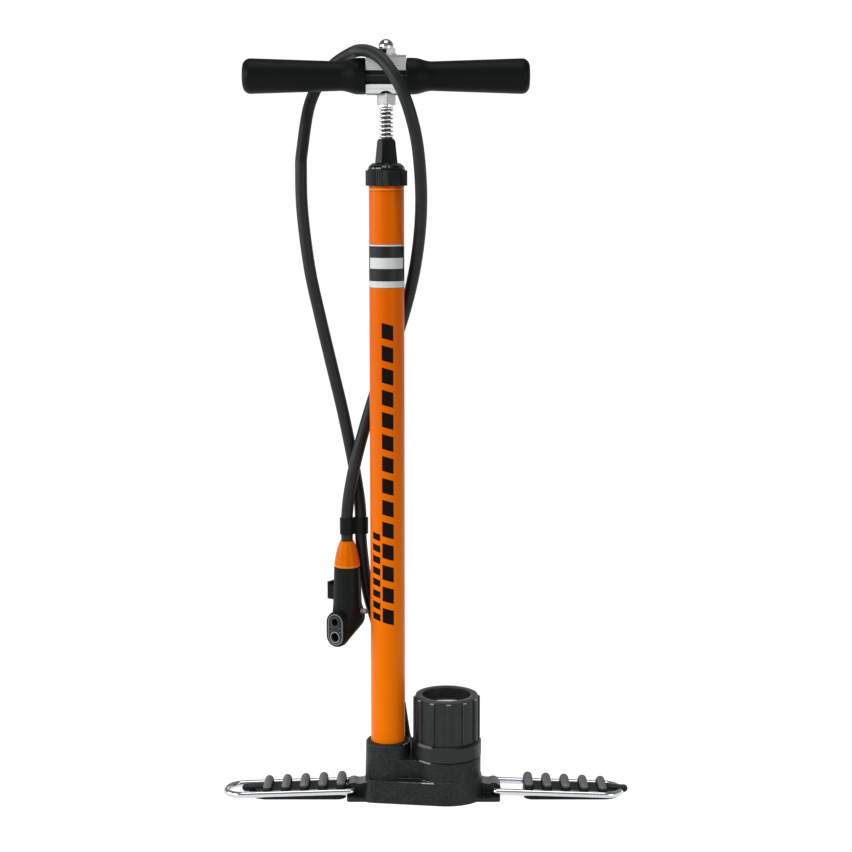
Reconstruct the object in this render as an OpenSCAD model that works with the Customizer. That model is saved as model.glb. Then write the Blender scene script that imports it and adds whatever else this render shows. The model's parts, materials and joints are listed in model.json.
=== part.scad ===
// Bicycle floor pump: a tall barrel on a cast base with a gauge, a T handle and two folding foot loops.
// Millimetres. The origin is on the barrel's axis at floor level, +Z up, the gauge at +X, the front at -Y.

/* [Barrel and cap] */
// Outer diameter of the barrel tube
barrel_d = 31.4; // [30.8:0.1:31.6]
// Wall of the barrel tube
barrel_wall = 1.5; // [1.2:0.1:1.8]
// Height of the cap's lower edge
cap_z = 558.5; // [557:0.5:562]
// Diameter over the cap's knurl
cap_d = 36; // [35:0.5:38]
// Number of ridges round the cap
cap_ridges = 40; // [24:1:48]

/* [Base] */
// Height of the barrel socket
socket_top = 52; // [48:0.5:54]
// Outer diameter of the barrel socket at its rim
socket_d = 40.6; // [39:0.2:42]
// Height of the base's slab
slab_h = 20; // [16:0.5:24]
// Distance from the barrel's axis to the gauge's axis
gauge_x = 54; // [53:0.5:56]
// Diameter of the boss under the gauge
boss_d = 63.2; // [61:0.2:64]

/* [Gauge] */
// Diameter of the gauge's lower ring
ring_d = 64; // [63:0.2:65]
// Diameter over the fluted boot
boot_d = 61.6; // [60:0.2:62]
// Top of the boot's rim
boot_top = 94; // [93:0.5:97]
// Diameter of the opening over the dial
window_d = 47.2; // [46:0.1:48]
// Number of flutes round the boot
flutes = 12; // [8:1:16]

/* [Handle and plunger] */
// Height of the handle's axis
handle_z = 654; // [652:0.5:656]
// Length of the handle from end to end
handle_l = 252; // [220:1:280]
// Width of the clamp between the grips
clamp_w = 35; // [30:0.5:38]
// Depth of the clamp from front to back
clamp_d = 24; // [22:0.5:26]
// Diameter of the piston rod
rod_d = 8; // [7:0.5:8]
// Wire diameter of the buffer spring
spring_wire = 1.7; // [1.4:0.1:1.7]
// Curls of the buffer spring
spring_curls = 8; // [6:1:9]

/* [Feet] */
// Distance of the left hinge from the barrel's axis
hinge_left = 32; // [31.5:0.5:34]
// Distance of the right hinge from the barrel's axis
hinge_right = 97.5; // [97:0.5:99]
// Height of both hinges
hinge_z = 6.9; // [6.8:0.1:7.5]
// Diameter of the foot wire
wire_d = 6; // [5:0.5:6]
// Length of a foot loop from its hinge to its tip
foot_l = 121; // [119:0.5:122]
// Spacing of the two wires of a loop
loop_w = 32; // [31:0.5:34]
// Fall of the loops from hinge to tip in degrees
foot_fall = 1.8; // [1.5:0.05:1.8]
// Ribs on each tread
tread_ribs = 5; // [3:1:5]

/* [Hose and valve head] */
// Outer diameter of the hose
hose_d = 10.8; // [10:0.1:11]
// Turn of the valve head away from the front in degrees
head_turn = -33; // [-45:1:-20]
// Bore of the wide valve port
wide_port_d = 8; // [7.6:0.1:8.2]
// Bore of the narrow valve port
narrow_port_d = 6.2; // [5.8:0.1:6.4]

/* [Hidden] */
$fn = 64;

black_paint = "#1d1e1f";
black_plastic = "#232425";
black_rubber = "#2a2b2c";
orange = "#f58220";
bright_steel = "#c9ccd0";
brass = "#c8a451";

slip = 0.05;
gap = 0.3;
nut_af = 15.8;
nut_corner_r = nut_af / sqrt(3);
nut_turn = 35;
barrel_r = barrel_d / 2;
bore_r = barrel_r - barrel_wall;
rod_r = rod_d / 2;
socket_r = socket_d / 2;
socket_floor = 10.5;
gasket_t = 1.5;
barrel_z = socket_floor + gasket_t;
barrel_end = cap_z + 9.5;
boss_top = 38;
gauge_r = boss_d / 2;

// Gauge levels
can_r = 27.2;
ring_top = 53;
dial_z = 80;
lens_z = 83;

// Cap and neck above the barrel
knurl_z = cap_z + 2.5;
knurl_h = 11;
shoulder_z = cap_z + 20;
neck_h = 21;
neck_top = shoulder_z + neck_h;

// Handle stack, from the lock nut up to the dome nut
spring_z = neck_top;
lock_nut_h = 11.2;
nut_recess = 2.2;
saddle_low = handle_z - 16;
saddle_low_top = handle_z - 7.5;
saddle_high = handle_z + 4.5;
saddle_high_top = handle_z + 17.7;
lock_nut_z = saddle_low + nut_recess - lock_nut_h;
washer_t = 1.5;
spring_top = lock_nut_z - washer_t - gap;
core_r = 11.5;
core_half = 60;
dome_z = saddle_high_top + washer_t;

// Piston stack, from the nut up to the backing plate
piston_z = 34;
piston_nut_h = 6;
cup_z = piston_z + washer_t + gap;
cup_t = 2;
backing_z = cup_z + cup_t + gap;
backing_t = 2.5;

// Hose outlet behind the barrel
port_x = 13;
port_y = 27;
port_top = 46;
port_r = 9.5;
port_lean = atan(3 / 32);
sleeve_h = 32;
barb_bore_r = 3.1;

// Valve head on the hose's free end
head_x = -37.3;
head_y = 10;
face_y = -19.6;
face_z = 157;
face_r = 9.6;
face_half = 6.2;
port_rise = 7;
port_depth = 14;
grommet_r = 5.4;
rim_r = 5.2;
screw_x = 5.2;
pin_r = 2.3;

// Foot loops and treads
wire_r = wire_d / 2;
loop_r = loop_w / 2;
bend_r = 4;
pin_in = 4;
ear_half = 10;
ear_r = 6.5;
plate_h = 3.3;
plate_half = 24.5;
tread_l = 90;
pad_half = loop_r + 2;
rib_pitch = 17;
rib_w = 8.4;
rib_rise = 10.2;
rib_step = 0.5;

// The hose's route, from the sleeve's mouth up over the handle and back down to the head's collar
hose_route = [
    [10, 27, 78.2], [8, 27, 99], [-5, 27, 135], [-13.8, 26, 165], [-19.3, 23, 188], [-23.2, 18.5, 218],
    [-25, 16, 242], [-25, 16, 261], [-27, 17.5, 280], [-32, 20, 310], [-41, 21, 355], [-51, 21, 398],
    [-61, 20, 442], [-70, 20, 485], [-76, 21, 535], [-77, 22, 571], [-76.1, 26.5, 590],
    [-69.2, 38.5, 632.8], [-51.9, 32.4, 661.4], [-30.8, 10.7, 674.7], [-17.3, -23.9, 674.4],
    [-5, -41.5, 668.1], [5.9, -52.5, 655], [14.8, -56.5, 638.9], [22.6, -54.8, 616.8], [28, -45.1, 591.2],
    [30.8, -23.9, 554], [29.3, -4.2, 516], [22.9, 11.4, 474.4], [10.6, 20.9, 429.2], [-3, 22.3, 396],
    [-17.5, 16.5, 352], [-29, 9, 310], [-35, 8.5, 280], [-37.3, 10, 258], [-37.3, 10, 248],
    [-37.3, 10, 236.8]
];
hose_steps = 3;
hose_sides = 10;
clip_z = 243;
clip_h = 15;

// A point on the smooth curve through four points, between the middle two
function through(a, b, c, d, t) =
    0.5 * (2 * b + (c - a) * t + (2 * a - 5 * b + 4 * c - d) * t * t + (3 * b - a - 3 * c + d) * t * t * t);
function at(p, i) =
    i < 0 ? 2 * p[0] - p[1] : i >= len(p) ? 2 * p[len(p) - 1] - p[len(p) - 2] : p[i];
function smooth(p, steps) = [
    for (i = [0 : len(p) - 2], k = [0 : steps - 1])
        through(at(p, i - 1), p[i], p[i + 1], at(p, i + 2), k / steps),
    p[len(p) - 1]
];
function unit(v) = v / norm(v);
function heading(p, i) = unit(p[min(i + 1, len(p) - 1)] - p[max(i - 1, 0)]);

// A closed tube along a line, whose rings start from the side directions given
module tube(line, sides_at, r, sides) {
    last = len(line) - 1;
    points = [
        for (i = [0 : last])
            let (ahead = heading(line, i), u = unit(cross(ahead, sides_at[i])), w = cross(u, ahead))
            for (k = [0 : sides - 1]) line[i] + r * (cos(360 * k / sides) * w + sin(360 * k / sides) * u)
    ];
    walls = [
        for (i = [0 : last - 1], k = [0 : sides - 1])
            let (a = i * sides + k, b = i * sides + (k + 1) % sides)
                each [[a, a + sides, b], [b, a + sides, b + sides]]
    ];
    ends = [
        for (k = [1 : sides - 2]) each
            [[0, k, k + 1], [last * sides, last * sides + k + 1, last * sides + k]]
    ];
    polyhedron(points, concat(walls, ends), convexity = 10);
}

// The spring's line: a straight end, a short lead-in, steady curls, and the same again at the top
spring_r = 5.5;
lead_angles = [0, 12, 26];
lead_rises = [0, 0.9, 1.5];
lead_end = 45;
lead_rise = 2;
spring_turn = spring_curls * 360;
spring_half = (spring_top - spring_z) / 2;
curl_rise = (spring_top - spring_z - 2 * (spring_wire + lead_rise)) / (spring_turn - 2 * lead_end);
spring_angles = concat(
    lead_angles, [for (a = [lead_end : 45 : spring_turn - lead_end]) a],
    [for (i = [2 : -1 : 0]) spring_turn - lead_angles[i]]
);
function spring_rise(a) =
    a < lead_end ? spring_wire + lookup(a, [for (i = [0 : 2]) [lead_angles[i], lead_rises[i]]])
    : a > spring_turn - lead_end ? 2 * spring_half - spring_rise(spring_turn - a)
    : spring_wire + lead_rise + (a - lead_end) * curl_rise;
function spring_at(a, z) = [spring_r * cos(a), spring_r * sin(a), z];
spring_line = concat(
    [spring_at(0, spring_z)], [for (a = spring_angles) spring_at(a, spring_z + spring_rise(a))],
    [spring_at(spring_turn, spring_top)]
);
spring_sides = concat(
    [[1, 0, 0]], [for (a = spring_angles) [cos(a), sin(a), 0]], [[cos(spring_turn), sin(spring_turn), 0]]
);
spring_gap = min([
    for (i = [0 : len(spring_line) - 6], j = [i + 5 : len(spring_line) - 1])
        norm(spring_line[i] - spring_line[j])
]) - spring_wire;
echo(buffer_spring_least_gap = spring_gap);

module at_gauge() translate([gauge_x, 0, 0]) children();
module at_handle() translate([0, 0, handle_z]) children();
module at_port() translate([port_x, port_y, port_top]) rotate([0, -port_lean, 0]) children();
module at_head() translate([head_x, head_y, 0]) rotate([0, 0, head_turn]) children();
// Along the head's snout, from the face inwards
module at_face(rise = 0) at_head() translate([0, face_y, face_z + rise]) rotate([-90, 0, 0]) children();
// A foot's frame: X outwards along the wires from the hinge
module at_foot(side) {
    x = side < 0 ? -hinge_left : hinge_right;
    translate([x, 0, hinge_z]) scale_side(side) rotate([0, foot_fall, 0]) children();
}
module scale_side(side) if (side < 0) mirror([1, 0, 0]) children(); else children();

module disc(z0, z1, r) translate([0, 0, z0]) cylinder(h = z1 - z0, r = r);
module ring(z0, z1, outer, inner) difference() {
    disc(z0, z1, outer);
    disc(z0 - 1, z1 + 1, inner);
}
module hex_nut(z0, h) difference() {
    translate([0, 0, z0]) rotate([0, 0, nut_turn]) cylinder(h = h, r = nut_corner_r, $fn = 6);
    disc(z0 - 1, z0 + h + 1, rod_r + slip);
}
// A capsule outline, as on the head's face
module capsule(r, half) {
    for (end = [-half, half]) translate([0, end]) circle(r = r);
    translate([-r, -half]) square([2 * r, 2 * half]);
}
// A box with round upright edges
module round_plate(x0, x1, half, h, r) {
    linear_extrude(h) {
        translate([x0, -half + r]) square([x1 - x0, 2 * (half - r)]);
        translate([x0 + r, -half]) square([x1 - x0 - 2 * r, 2 * half]);
        for (x = [x0 + r, x1 - r], y = [-half + r, half - r]) translate([x, y]) circle(r = r);
    }
}

// The base's slab: wide round the gauge, narrow at the barrel, with drafted sides
module slab() {
    corner_x = -14;
    corner_y = 19;
    hull() {
        at_gauge() cylinder(h = slab_h, r1 = gauge_r + 5, r2 = gauge_r + 0.4, $fn = 48);
        for (y = [-corner_y, corner_y])
            translate([corner_x, y, 0]) cylinder(h = slab_h, r1 = 8, r2 = 4, $fn = 24);
    }
}
module socket() {
    rim = 1.4;
    rotate_extrude() polygon([
        [0, 0], [socket_r + 1.2, 0], [socket_r, socket_top - rim], [socket_r - rim, socket_top],
        [0, socket_top]
    ]);
}
module gauge_boss() {
    edge = 1;
    at_gauge() rotate_extrude() polygon([
        [0, 0], [gauge_r, 0], [gauge_r, boss_top - edge], [gauge_r - edge, boss_top], [0, boss_top]
    ]);
}
// A foot's lug: a plate under the wires and an ear between them that holds the hinge
module lug(side) {
    hinge_x = side < 0 ? hinge_left : hinge_right;
    root_x = side < 0 ? 12 : gauge_x + 22;
    saddle_r = 14;
    scale_side(side) {
        round_plate(root_x, hinge_x + 5.5, plate_half, plate_h, 3);
        translate([hinge_x, ear_half, hinge_z]) rotate([90, 0, 0]) cylinder(h = 2 * ear_half, r = ear_r);
        difference() {
            translate([root_x, -ear_half, 0]) cube([hinge_x - root_x, 2 * ear_half, hinge_z + ear_r]);
            translate([hinge_x - 5, ear_half + 1, hinge_z + ear_r + saddle_r - 1]) rotate([90, 0, 0])
                cylinder(h = 2 * ear_half + 2, r = saddle_r);
        }
        translate([root_x, -ear_half, 0]) cube([hinge_x + ear_r - 0.5 - root_x, 2 * ear_half, hinge_z]);
    }
}
module base_casting() {
    web_half = 18;
    web_top = boss_top - 0.5;
    chamber_r = 9;
    chamber_z = 6.5;
    duct_r = 1.8;
    duct_z = 8.3;
    color(black_paint) difference() {
        union() {
            slab();
            socket();
            gauge_boss();
            translate([0, -web_half, 0]) cube([gauge_x, 2 * web_half, web_top]);
            translate([port_x, port_y, 0]) cylinder(h = port_top - 2, r = port_r);
            at_port() disc(-12, 0, port_r - 1.5);
            translate([port_x - 7, 10, 0]) cube([14, port_y - 10, port_top - 8]);
            lug(-1);
            lug(1);
        }
        disc(socket_floor, socket_top + 1, barrel_r + slip);
        disc(chamber_z, socket_floor + 1, chamber_r);
        at_gauge() disc(duct_z, boss_top + 1, 6 + slip);
        translate([0, 0, duct_z]) rotate([0, 90, 0]) cylinder(h = gauge_x, r = duct_r);
        translate([port_x, 0, duct_z]) rotate([-90, 0, 0]) cylinder(h = port_y, r = duct_r);
        translate([port_x, port_y, duct_z - duct_r]) cylinder(h = port_top - 20, r = duct_r);
        at_port() disc(-16, 1, barb_bore_r + slip);
        for (x = [-hinge_left, hinge_right]) translate([x, ear_half + 1, hinge_z])
            rotate([90, 0, 0]) cylinder(h = 2 * ear_half + 2, r = wire_r + slip);
    }
}

module barrel_gasket() color(black_rubber) ring(socket_floor, barrel_z, barrel_r - slip, bore_r - 2);
module barrel() {
    bead_z = cap_z - 3;
    bead_r = 0.6;
    color(orange) difference() {
        ring(barrel_z, barrel_end, barrel_r, bore_r);
        rotate_extrude() translate([barrel_r + 0.2, bead_z]) circle(r = bead_r);
    }
}
module valve_seat() {
    hole_r = 1.2;
    color(brass) difference() {
        disc(barrel_z + slip, barrel_z + 6, bore_r - slip);
        disc(0, barrel_z + 7, hole_r + slip);
        for (a = [0 : 60 : 300]) rotate([0, 0, a]) translate([5, 0, 0]) disc(0, barrel_z + 7, hole_r);
    }
}
module valve_flap() color(black_rubber) {
    disc(barrel_z - 1.3, barrel_z - slip, 7.5);
    disc(barrel_z - 1, barrel_z + 6.2, 1.2);
    disc(barrel_z + 6.1, barrel_z + 7, 2.2);
}

module rod_bush() color(black_plastic) ring(cap_z - 4, barrel_end, bore_r - slip, rod_r + gap);
module top_cap() {
    ridge = 0.7;
    core = cap_d / 2 - ridge;
    band_top = knurl_z + knurl_h;
    hole_r = rod_r + 0.5;
    color(black_plastic) difference() {
        union() {
            rotate_extrude() polygon([
                [0, cap_z], [core - 0.8, cap_z], [core, cap_z + 1], [core, band_top],
                [core - 0.5, band_top + 0.4], [core - 0.9, band_top + 2.5], [core - 2, band_top + 4.3],
                [core - 3.8, band_top + 5.6], [core - 4.8, shoulder_z], [0, shoulder_z]
            ]);
            translate([0, 0, knurl_z]) linear_extrude(knurl_h) polygon([
                for (i = [0 : 2 * cap_ridges - 1])
                    let (a = 180 * i / cap_ridges, r = i % 2 == 0 ? cap_d / 2 : core - 0.1)
                    r * [cos(a), sin(a)]
            ]);
            translate([0, 0, shoulder_z - 0.5]) rotate([0, 0, 22.5])
                cylinder(h = neck_h - 1, r1 = 10.8, r2 = 8.6, $fn = 8);
        }
        disc(cap_z - 1, barrel_end + slip, barrel_r + slip);
        disc(cap_z, neck_top + 1, hole_r);
    }
}
module neck_ring() color(black_plastic) rotate_extrude() polygon([
    [rod_r + 0.4, neck_top - 1.5], [7.4, neck_top - 1.5], [7.4, neck_top - 0.5], [6.9, neck_top],
    [rod_r + 0.4, neck_top]
]);
module buffer_spring() color(bright_steel) tube(spring_line, spring_sides, spring_wire / 2, 6);

// Gauge: stem, can, dial, needle and lens inside a fluted boot on a plain ring
module gauge_stem() color(brass) at_gauge() difference() {
    disc(18, boss_top + 1, 6);
    disc(17, boss_top + 2, 1.5);
}
module gauge_body() color(black_plastic) at_gauge() difference() {
    disc(boss_top + 1, dial_z - 1, can_r - 0.2);
    disc(boss_top, boss_top + 6, 1.5);
    disc(dial_z - 6, dial_z, 1.2);
}
module gauge_ring() color(black_plastic) at_gauge() rotate_extrude() polygon([
    [can_r, boss_top + 0.2], [ring_d / 2 - 0.8, boss_top + 0.2], [ring_d / 2, boss_top + 1],
    [ring_d / 2, ring_top - 1.5], [ring_d / 2 - 1.5, ring_top], [can_r, ring_top]
]);
module gauge_boot() {
    r = boot_d / 2;
    flute_r = 2.9;
    flute_top = boot_top - 6.2;
    first_flute = -87.6;
    lip = window_d / 2;
    color(black_rubber) at_gauge() difference() {
        rotate_extrude() polygon([
            [can_r, ring_top + 0.1], [r, ring_top + 0.1], [r, boot_top - 4], [r - 1.2, boot_top - 1.4],
            [r - 1.9, boot_top], [lip + 1.2, boot_top], [lip, boot_top - 1.2], [lip, lens_z + 1.6],
            [can_r, lens_z + 1.6]
        ]);
        for (i = [0 : flutes - 1]) rotate([0, 0, first_flute + 360 * i / flutes]) translate([r + 1.3, 0, 0]) {
            disc(ring_top - 1, flute_top, flute_r);
            translate([0, 0, flute_top]) sphere(r = flute_r);
        }
    }
}
module gauge_dial() color("#f2f2ee") at_gauge() ring(dial_z - 1, dial_z, can_r - 0.3, 1.2);
module gauge_lens() color("#dfe8ee", 0.4) at_gauge() disc(lens_z, lens_z + 1.5, can_r - 0.2);
module gauge_needle() {
    zero_angle = -135;
    color("#d8361f") at_gauge() {
        disc(dial_z - 4, dial_z + 2.2, 0.8);
        disc(dial_z + 0.6, dial_z + 1.8, 3);
        rotate([0, 0, zero_angle]) translate([0, 0, dial_z + 0.8]) linear_extrude(0.7)
            polygon([[-6, -1.4], [-6, 1.4], [19, 0.3], [19, -0.3]]);
    }
}

// Hose outlet: a barb in the base and a moulded sleeve round the hose's end
module hose_barb() color(brass) at_port() difference() {
    union() {
        disc(-12, 24, barb_bore_r);
        for (z = [8, 14, 20]) translate([0, 0, z])
            cylinder(h = 3, r1 = barb_bore_r + 0.5, r2 = barb_bore_r - 0.2);
    }
    disc(-13, 25, 1.6);
}
module hose_sleeve() color(black_rubber) at_port() difference() {
    cylinder(h = sleeve_h, r1 = 7.6, r2 = hose_d / 2 + 0.6);
    disc(-1, 25, barb_bore_r + 0.6);
}
module hose() {
    line = smooth(hose_route, hose_steps);
    across = unit([0.74, 0.66, 0]);
    color(black_rubber) tube(line, [for (p = line) across], hose_d / 2, hose_sides);
}
// A double clip: a cuff on the head's hose and an open sleeve for the rising run
module hose_clip() {
    cuff = hose_route[35];
    sleeve = hose_route[6];
    across = sleeve - cuff;
    clear_r = hose_d / 2 + 0.35;
    cuff_r = clear_r + 0.8;
    sleeve_r = clear_r + 1.3;
    slot_w = 7;
    color(black_plastic) difference() {
        union() {
            translate([cuff[0], cuff[1], clip_z]) cylinder(h = clip_h, r = cuff_r);
            translate([sleeve[0], sleeve[1], clip_z - 0.5]) cylinder(h = clip_h - 0.5, r = sleeve_r);
            translate([cuff[0], cuff[1], clip_z]) rotate([0, 0, atan2(across[1], across[0])])
                translate([cuff_r - 1, -3.5, 0]) cube([3.5, 7, clip_h - 2]);
        }
        for (p = [cuff, sleeve]) translate([p[0], p[1], clip_z - 2]) cylinder(h = clip_h + 4, r = clear_r);
        translate([sleeve[0], sleeve[1], clip_z - 2]) rotate([0, 0, 60])
            translate([0, -slot_w / 2, 0]) cube([20, slot_w, clip_h + 4]);
    }
}

// Valve head
module head_collar() {
    foot = 212.5;
    top = 236.7;
    color(orange) translate([head_x, head_y, 0]) rotate_extrude($fn = 12) polygon([
        [0, foot], [11.4, foot], [11.9, foot + 0.8], [11.7, foot + 4], [10.7, foot + 10], [9.1, foot + 17],
        [7, foot + 22.5], [6.1, top], [0, top]
    ]);
}
// The head's body: a round grip that turns into an oval snout, with a hanger hook on its left
module head_body() {
    grip_z = 178;
    grip_top = 212.3;
    hook_z = 181;
    hook_x = -19;
    hook_half = 5;
    snout_y = -12;
    color(black_plastic) difference() {
        at_head() {
            translate([0, 0, grip_z]) cylinder(h = grip_top - grip_z, r1 = 13.2, r2 = 12);
            hull() {
                disc(grip_z - 3, grip_z + 1, 13.1, $fn = 32);
                translate([0, 6, 165]) sphere(r = 12.8, $fn = 32);
                translate([0, snout_y + 2, face_z]) rotate([90, 0, 0])
                    linear_extrude(2) capsule(face_r - 0.4, face_half, $fn = 32);
            }
            snout(snout_y + 1, face_y, face_r);
            for (y = [snout_y - 1, snout_y - 4]) snout(y, y - 1.6, face_r + 0.7);
            translate([hook_x, -hook_half, hook_z]) cube([9, 2 * hook_half, 13.5]);
            translate([hook_x, -hook_half, hook_z]) cube([2.6, 2 * hook_half, 16]);
        }
        at_face() translate([0, 0, -0.5]) linear_extrude(2) capsule(face_r - 1.2, face_half);
        for (rise = [-port_rise, port_rise]) at_face(rise) disc(0, port_depth, grommet_r + slip);
        for (x = [-1, 1]) at_face() translate([screw_x * x, 0, 0]) disc(0, 8, 0.8);
        at_pin() cylinder(h = 40, r = pin_r + slip);
    }
}
// A length of the oval snout, from one depth to another
module snout(from, to, r) translate([0, from, face_z]) rotate([90, 0, 0])
    linear_extrude(from - to) capsule(r, face_half);
module at_pin() at_head() translate([-9, 4, 172]) rotate([0, 90, 0]) children();
module head_face() color("#55585b") difference() {
    at_face() translate([0, 0, 0.2]) linear_extrude(1.3) capsule(face_r - 1.3, face_half);
    for (rise = [-port_rise, port_rise]) at_face(rise) disc(-1, 3, rim_r + slip);
    for (x = [-1, 1]) at_face() translate([screw_x * x, 0, 0]) disc(-1, 3, 0.9);
}
module grommet(rise, d) color(black_rubber) at_face(rise) ring(1.6, 12, grommet_r, d / 2);
module wide_grommet() grommet(-port_rise, wide_port_d);
module narrow_grommet() grommet(port_rise, narrow_port_d);
// The ring round a port, a little proud of the face plate
module port_rim(rise, d) color(bright_steel) at_face(rise) ring(-0.4, 1.5, rim_r, d / 2 + 0.4);
module wide_rim() port_rim(-port_rise, wide_port_d);
module narrow_rim() port_rim(port_rise, narrow_port_d);
module head_screws() color(bright_steel) for (x = [-1, 1]) at_face() translate([screw_x * x, 0, 0])
    difference() {
        union() {
            disc(-0.4, 0.15, 1.5);
            disc(0, 7, 0.75);
        }
        translate([-2, -0.2, -1]) cube([4, 0.4, 0.9]);
    }
module head_pin() color(bright_steel) at_pin() disc(0.1, 28, pin_r);

// Plunger: the piston, its rod and the handle
module piston_cup() {
    cup_r = bore_r - gap;
    skirt_r = cup_r - 1.8;
    skirt_z = piston_z - 7;
    top = cup_z + cup_t;
    round_r = 1.2;
    color("#8a5a33") rotate_extrude() polygon([
        [rod_r + slip, top], [rod_r + slip, cup_z], [skirt_r, cup_z], [skirt_r, skirt_z], [cup_r, skirt_z],
        [cup_r, top - round_r], [cup_r - round_r, top]
    ]);
}
module piston_backing() color(bright_steel) ring(backing_z, backing_z + backing_t, 12.6, rod_r + slip);
module piston_washer() color(bright_steel) ring(piston_z, piston_z + washer_t, 9, rod_r + slip);
module piston_nut() color(bright_steel) hex_nut(piston_z - piston_nut_h, piston_nut_h);
module piston_rod() color(bright_steel) {
    disc(piston_z - piston_nut_h - 2, dome_z + 6, rod_r);
    disc(backing_z + backing_t, backing_z + backing_t + 3, rod_r + 2);
}
module lock_nut() color(bright_steel) difference() {
    hex_nut(lock_nut_z, lock_nut_h);
    for (end = [0, 1]) translate([0, 0, lock_nut_z + end * lock_nut_h]) mirror([0, 0, end])
        rotate_extrude() polygon([
            [nut_af / 2 + 0.6, -1], [nut_corner_r + 1, -1], [nut_corner_r + 1, 1.2], [nut_af / 2, 0]
        ]);
}
module spring_washer() color(bright_steel) ring(lock_nut_z - washer_t, lock_nut_z, 6.9, rod_r + slip);
// A saddle of the clamp: a block with bevelled long edges and a round trough for the handle's core
module saddle(z0, z1, low_edge, high_edge) {
    half = clamp_d / 2;
    difference() {
        rotate([90, 0, 90]) translate([0, 0, -clamp_w / 2]) linear_extrude(clamp_w) polygon([
            [half - low_edge, z0], [half, z0 + low_edge], [half, z1 - high_edge], [half - high_edge, z1],
            [high_edge - half, z1], [-half, z1 - high_edge], [-half, z0 + low_edge], [low_edge - half, z0]
        ]);
        at_handle() rotate([0, 90, 0]) translate([0, 0, -clamp_w])
            cylinder(h = 2 * clamp_w, r = core_r + slip);
        disc(z0 - 1, z1 + 1, rod_r + slip);
    }
}
module lower_saddle() {
    seam_z = saddle_low + 4.2;
    seam_h = 0.5;
    notch_r = 7;
    notch_h = 3;
    color(bright_steel) difference() {
        saddle(saddle_low, saddle_low_top, 1, 0.3);
        disc(saddle_low - 1, saddle_low + nut_recess, nut_corner_r + 1);
        for (side = [0, 1]) rotate([0, 0, 180 * side])
            translate([0, -clamp_d / 2, 0]) {
                translate([-clamp_w, -1, seam_z]) cube([2 * clamp_w, 1.6, seam_h]);
                translate([0, -1, saddle_low + notch_h - notch_r]) rotate([-90, 0, 0])
                    cylinder(h = 4, r = notch_r);
            }
    }
}
module upper_saddle() color(bright_steel) saddle(saddle_high, saddle_high_top, 0.3, 2);
module handle_core() color(black_plastic) difference() {
    at_handle() rotate([0, 90, 0]) translate([0, 0, -core_half]) cylinder(h = 2 * core_half, r = core_r);
    disc(handle_z - 20, handle_z + 20, rod_r + slip);
}

// A grip's radius at a distance from its inner face: a collar, a waist, and a slow swell to the outer end
collar_r = 15.9;
collar_l = 6.5;
waist_r = 12.8;
waist_x = 22;
grip_end_r = 15.4;
grip_corner = 7;
function ease(t) = (1 - cos(180 * t)) / 2;
function grip_r(x, l) =
    x < collar_l ? collar_r
    : x < waist_x ? collar_r + (waist_r - collar_r) * ease((x - collar_l) / (waist_x - collar_l))
    : waist_r + (grip_end_r - waist_r) * (x - waist_x) / (l - waist_x);
module grip() {
    start = clamp_w / 2 + gap;
    l = handle_l / 2 - start - grip_corner;
    steps = 32;
    edge = 0.8;
    inner_r = grip_end_r - grip_corner;
    rotate([0, 90, 0]) translate([0, 0, start]) difference() {
        rotate_extrude() {
            polygon(concat(
                [[0, 0], [collar_r - edge, 0], [collar_r, edge]],
                [for (i = [2 : steps]) [grip_r(l * i / steps, l), l * i / steps]],
                [[inner_r, l], [inner_r, l + grip_corner], [0, l + grip_corner]]
            ));
            intersection() {
                translate([inner_r, l]) circle(r = grip_corner);
                translate([inner_r, l]) square(grip_corner);
            }
        }
        disc(-1, core_half + slip - start, core_r + slip);
    }
}
module left_grip() color(black_plastic) at_handle() mirror([1, 0, 0]) grip();
module right_grip() color(black_plastic) at_handle() grip();
module top_washer() color(bright_steel) ring(saddle_high_top, dome_z, nut_corner_r + 0.4, rod_r + slip);
module dome_nut() {
    hex_h = 4.4;
    dome_r = 6.6;
    color(bright_steel) difference() {
        union() {
            translate([0, 0, dome_z]) rotate([0, 0, nut_turn])
                cylinder(h = hex_h, r = nut_corner_r, $fn = 6);
            disc(dome_z + hex_h - 0.5, dome_z + hex_h + 1.8, dome_r);
            translate([0, 0, dome_z + hex_h + 1.8]) sphere(r = dome_r);
        }
        disc(dome_z - 3, dome_z, 20);
        disc(dome_z - 1, dome_z + 7, rod_r + slip);
    }
}

// The two straight runs and the round end of a foot loop
module loop_runs(r) {
    run = foot_l - loop_r - wire_r;
    for (s = [-1, 1])
        translate([bend_r, s * loop_r, 0]) rotate([0, 90, 0]) cylinder(h = run - bend_r, r = r);
    translate([run, 0, 0]) rotate([0, 0, -90])
        rotate_extrude(angle = 180) translate([loop_r, 0]) circle(r = r);
}
// A foot loop of bent wire: two pins in the lug's ear, a bend at each, and the loop
module foot_wire(side) color(bright_steel) at_foot(side) {
    for (s = [-1, 1]) {
        translate([0, s * pin_in, 0]) rotate([s * -90, 0, 0])
            cylinder(h = loop_r - bend_r - pin_in, r = wire_r);
        translate([bend_r, s * (loop_r - bend_r), 0]) rotate([0, 0, s > 0 ? 90 : 180])
            rotate_extrude(angle = 90) translate([bend_r, 0]) circle(r = wire_r);
    }
    loop_runs(wire_r);
}
// A tread's plan: straight sides, round corners at the hinge and a round outer end
module pad_outline(start, half) {
    centre = start + tread_l - pad_half;
    corner = 8;
    translate([start + corner, -half]) square([centre - start - corner, 2 * half]);
    translate([start, corner - half]) square([2 * corner, 2 * (half - corner)]);
    for (s = [-1, 1]) translate([start + corner, s * (half - corner)]) circle(r = corner);
    translate([centre, 0]) circle(r = half);
}
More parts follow.
